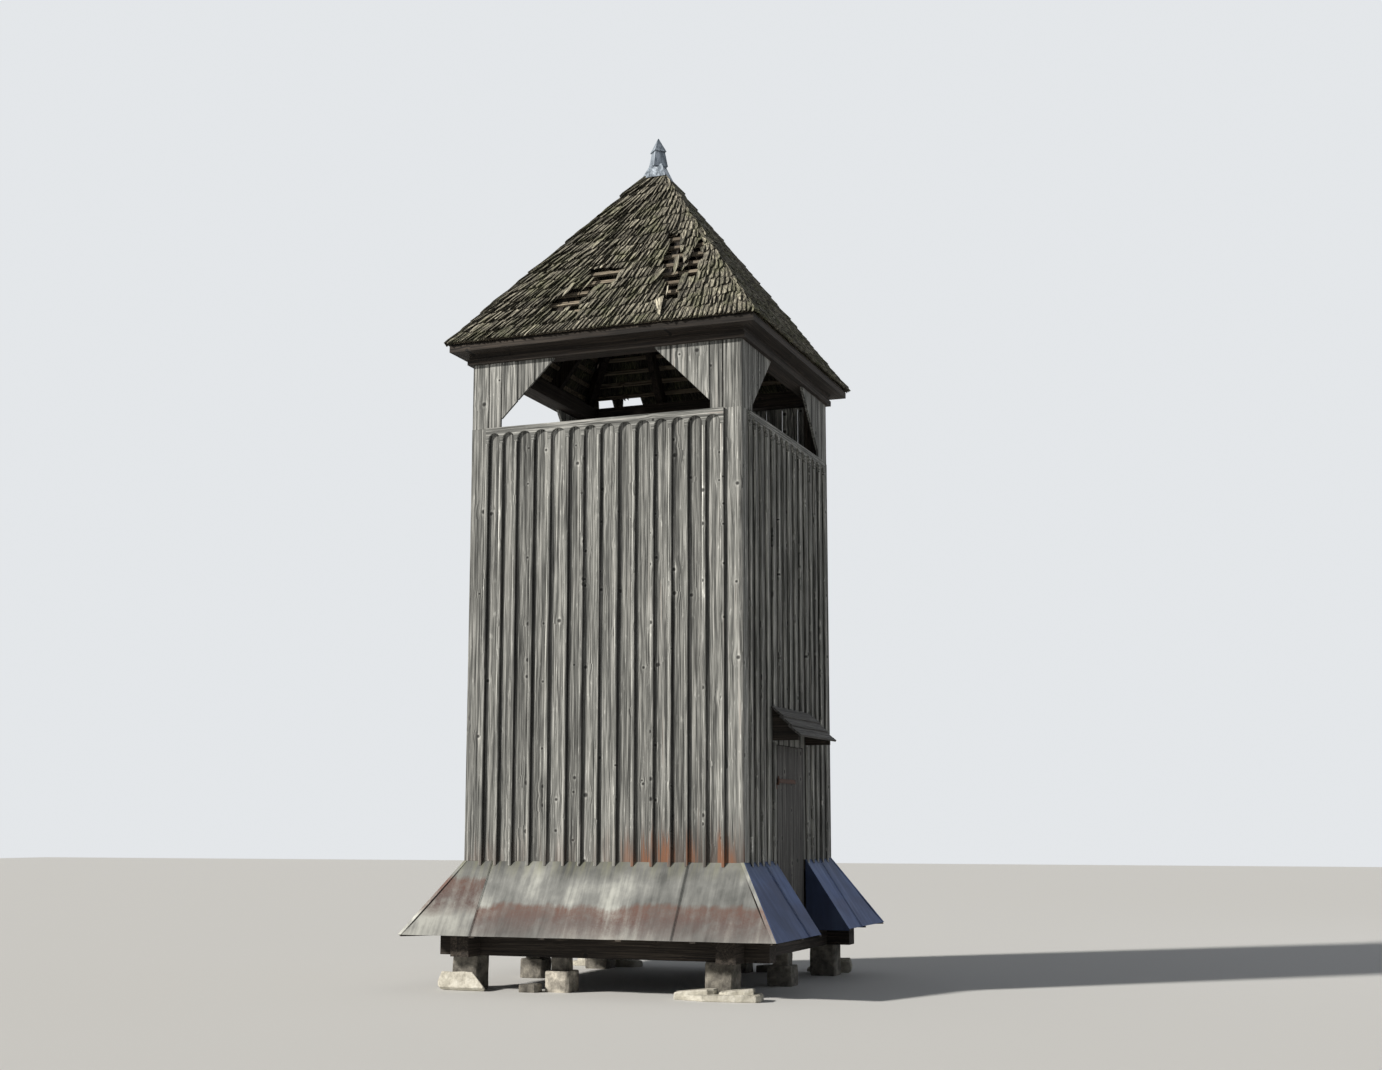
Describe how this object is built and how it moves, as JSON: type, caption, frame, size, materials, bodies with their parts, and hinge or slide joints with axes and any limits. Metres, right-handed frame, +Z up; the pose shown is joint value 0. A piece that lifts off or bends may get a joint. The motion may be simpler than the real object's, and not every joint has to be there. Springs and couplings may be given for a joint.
{
  "type": "wooden bell tower",
  "caption": "Boarded timber-framed bell tower with open belfry, shingled pyramid roof, sheet-metal skirt round the base and a hinged door.",
  "frame": {"origin": "middle of the tower at the level of the ground", "axes": "+Z up, -Y the front, +X the side with the door"},
  "size_m": [3.96, 3.96, 9.31],
  "materials": {
    "wall_boards": "weathered grey, unpainted",
    "door_boards": "weathered grey, unpainted",
    "frame_timber": "weathered dark brown, unpainted",
    "lath_wood": "rough sawn, unpainted",
    "shingles": "split, weathered, with moss",
    "apron_sheet": "dull galvanised sheet with rust",
    "cap_sheet": "dull galvanised sheet",
    "hinge_iron": "rusty forged iron",
    "field_stone": "rough"
  },
  "bodies": {
    "tower": {"foundation_stones": "field_stone", "foot_slabs": "field_stone", "sill_beams_long": "frame_timber", "sill_beams_cross": "frame_timber", "floor_boards": "frame_timber", "floor_joists": "frame_timber", "corner_posts": "frame_timber", "wall_girts": "frame_timber", "opening_sill_rails": "frame_timber", "door_jambs": "frame_timber", "front_wall": "wall_boards", "back_wall": "wall_boards", "left_wall": "wall_boards", "right_wall": "wall_boards", "right_wall_over_door": "wall_boards", "belfry_boards_front_back": "wall_boards", "belfry_boards_left_right": "wall_boards", "scalloped_boards": "wall_boards", "battens_front_back": "wall_boards", "battens_left_right": "wall_boards", "top_plates_long": "frame_timber", "top_plates_cross": "frame_timber", "eave_boards_front_back": "frame_timber", "eave_boards_left_right": "frame_timber", "king_post": "frame_timber", "hip_rafters": "frame_timber", "jack_rafters": "frame_timber", "roof_laths": "lath_wood", "roof_front": "shingles", "roof_right": "shingles", "roof_back": "shingles", "roof_left": "shingles", "roof_cap": "cap_sheet", "apron_front": "apron_sheet", "apron_right": "apron_sheet", "apron_back": "apron_sheet", "apron_left": "apron_sheet", "apron_rafters": "frame_timber", "apron_struts": "frame_timber", "hinge_pins": "hinge_iron", "canopy_roof": "door_boards", "canopy_brackets": "door_boards"},
    "door": {"door_leaf": "door_boards", "door_straps": "hinge_iron"}
  },
  "joints": [
    {"name": "door_hinge", "type": "hinge", "parent": "tower", "child": "door", "pos_m": [1.5183, -0.462, 0], "axis": [0, 0, -1], "range_deg": [0, 95]}
  ]
}
